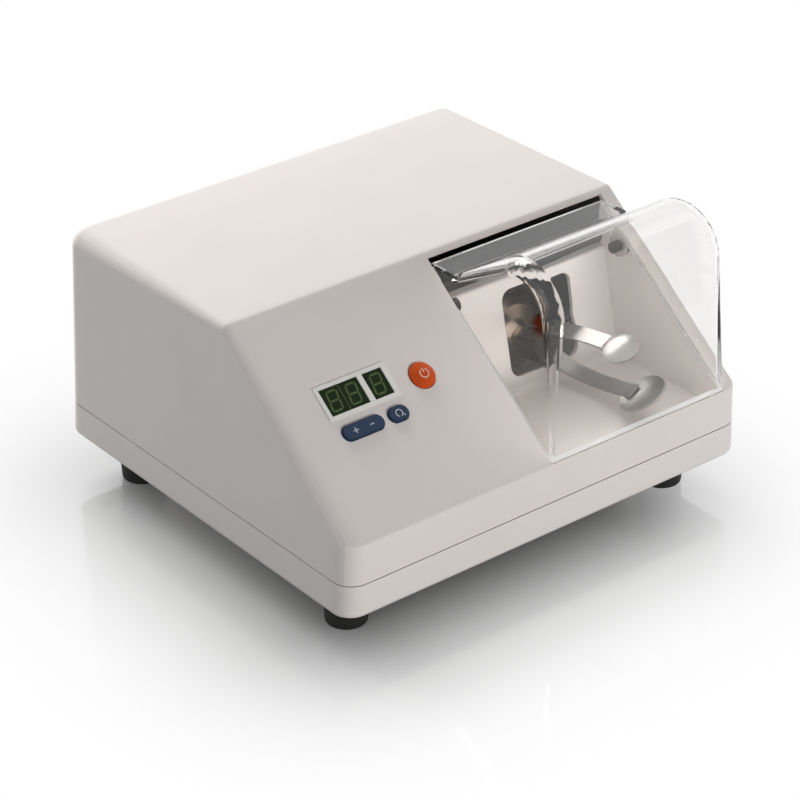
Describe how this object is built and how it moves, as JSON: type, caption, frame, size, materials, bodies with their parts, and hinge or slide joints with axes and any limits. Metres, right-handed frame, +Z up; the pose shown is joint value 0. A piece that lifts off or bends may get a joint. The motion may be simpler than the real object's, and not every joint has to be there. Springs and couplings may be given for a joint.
{
  "type": "dental amalgamator",
  "caption": "Bench-top dental capsule mixer: sloped white case, clear hinged cover, shaking fork, digital timer, orange start key and blue setting keys.",
  "frame": {"origin": "on the bench plane under the feet, midway across the width and depth of the case", "axes": "+X to the right seen from the front, +Y from the front skirt to the back, +Z up"},
  "size_m": [0.25, 0.23, 0.1567],
  "materials": {
    "case_white": "fine texture",
    "chamber_white": "satin",
    "foot_rubber": "matte",
    "zinc_screw": "satin",
    "clear_cover": "clear plastic",
    "dark_pin": "satin",
    "bezel_white": "satin",
    "led_lens": "gloss",
    "board_green": "satin",
    "button_orange": "gloss",
    "key_blue": "satin",
    "black_plastic": "satin",
    "steel_plate": "satin",
    "spring_steel": "polished",
    "bearing_steel": "polished",
    "cast_head": "bead blasted",
    "core_steel": "lacquered",
    "coil_tape": "satin",
    "can_blue": "gloss",
    "contact_brass": "satin",
    "rocker_red": "gloss"
  },
  "bodies": {
    "casing": {"base_tray": "case_white", "upper_casing": "case_white", "rubber_feet": "foot_rubber", "foot_screws": "zinc_screw", "case_screws": "zinc_screw", "mixing_chamber": "chamber_white", "chamber_screws": "zinc_screw", "hinge_pins": "dark_pin", "display_bezel": "bezel_white", "led_modules": "led_lens", "control_board": "board_green", "board_screws": "zinc_screw", "tact_switches": "black_plastic", "interlock_switch": "black_plastic", "motor_cradle": "steel_plate", "rubber_mounts": "foot_rubber", "mount_bolts": "zinc_screw", "transit_screws": "zinc_screw", "motor_can": "steel_plate", "motor_screws": "zinc_screw", "guide_blocks": "black_plastic", "power_board": "board_green", "power_screws": "zinc_screw", "transformer_core": "core_steel", "transformer_coil": "coil_tape", "capacitor": "can_blue", "relay": "black_plastic", "power_inlet": "black_plastic", "inlet_pins": "contact_brass", "inlet_screws": "zinc_screw", "switch_body": "black_plastic", "fuse_holder": "black_plastic"},
    "cover": {"cover_shell": "clear_cover"},
    "start_key": {"start_button": "button_orange"},
    "speed_key": {"speed_button": "key_blue"},
    "time_key": {"time_rocker": "key_blue"},
    "mains_rocker": {"switch_rocker": "rocker_red"},
    "fuse_carrier": {"fuse_cap": "black_plastic"},
    "rotor": {"rotor_shaft": "bearing_steel", "wobble_hub": "bearing_steel", "hub_nut": "zinc_screw", "bearing_inner": "bearing_steel", "bearing_balls": "bearing_steel"},
    "shaker": {"bearing_outer": "bearing_steel", "shaker_housing": "cast_head", "housing_cap": "steel_plate", "fork_clamp": "black_plastic", "clamp_screws": "dark_pin", "upper_arm": "spring_steel", "lower_arm": "spring_steel", "guide_pins": "bearing_steel"}
  },
  "joints": [
    {"name": "cover_hinge", "type": "hinge", "parent": "casing", "child": "cover", "pos_m": [0.05475, -0.03705, 0.113], "axis": [-1, 0, 0], "range_deg": [0, 62]},
    {"name": "start_press", "type": "slide", "parent": "casing", "child": "start_key", "axis": [0, 0.6101, -0.7923], "range_m": [0, 0.001], "stiffness_N_per_m": 300, "springref_m": -0.0008},
    {"name": "speed_press", "type": "slide", "parent": "casing", "child": "speed_key", "axis": [0, 0.6101, -0.7923], "range_m": [0, 0.001], "stiffness_N_per_m": 300, "springref_m": -0.0008},
    {"name": "time_rock", "type": "hinge", "parent": "casing", "child": "time_key", "pos_m": [-0.0827, -0.07138, 0.08888], "axis": [0, 0.7923, 0.6101], "range_deg": [-3, 3], "stiffness_Nm_per_rad": 0.03},
    {"name": "power_switch", "type": "hinge", "parent": "casing", "child": "mains_rocker", "pos_m": [-0.076, 0.10609, 0.077], "axis": [1, 0, 0], "range_deg": [0, 16]},
    {"name": "fuse_turn", "type": "hinge", "parent": "casing", "child": "fuse_carrier", "pos_m": [-0.096, 0.11059, 0.077], "axis": [0, 1, 0], "range_deg": [0, 60]},
    {"name": "motor_spin", "type": "hinge", "parent": "casing", "child": "rotor", "pos_m": [0.0615, -0.00356, 0.06538], "axis": [0, -0.9763, 0.2164], "continuous": true},
    {"name": "shaker_nutate", "type": "hinge", "parent": "rotor", "child": "shaker", "pos_m": [0.0615, -0.00356, 0.06538], "axis": [0.0739, -0.9869, 0.1431], "continuous": true}
  ],
  "couplings": [
    {"joint": "shaker_nutate", "follows": "motor_spin", "ratio": -1}
  ]
}
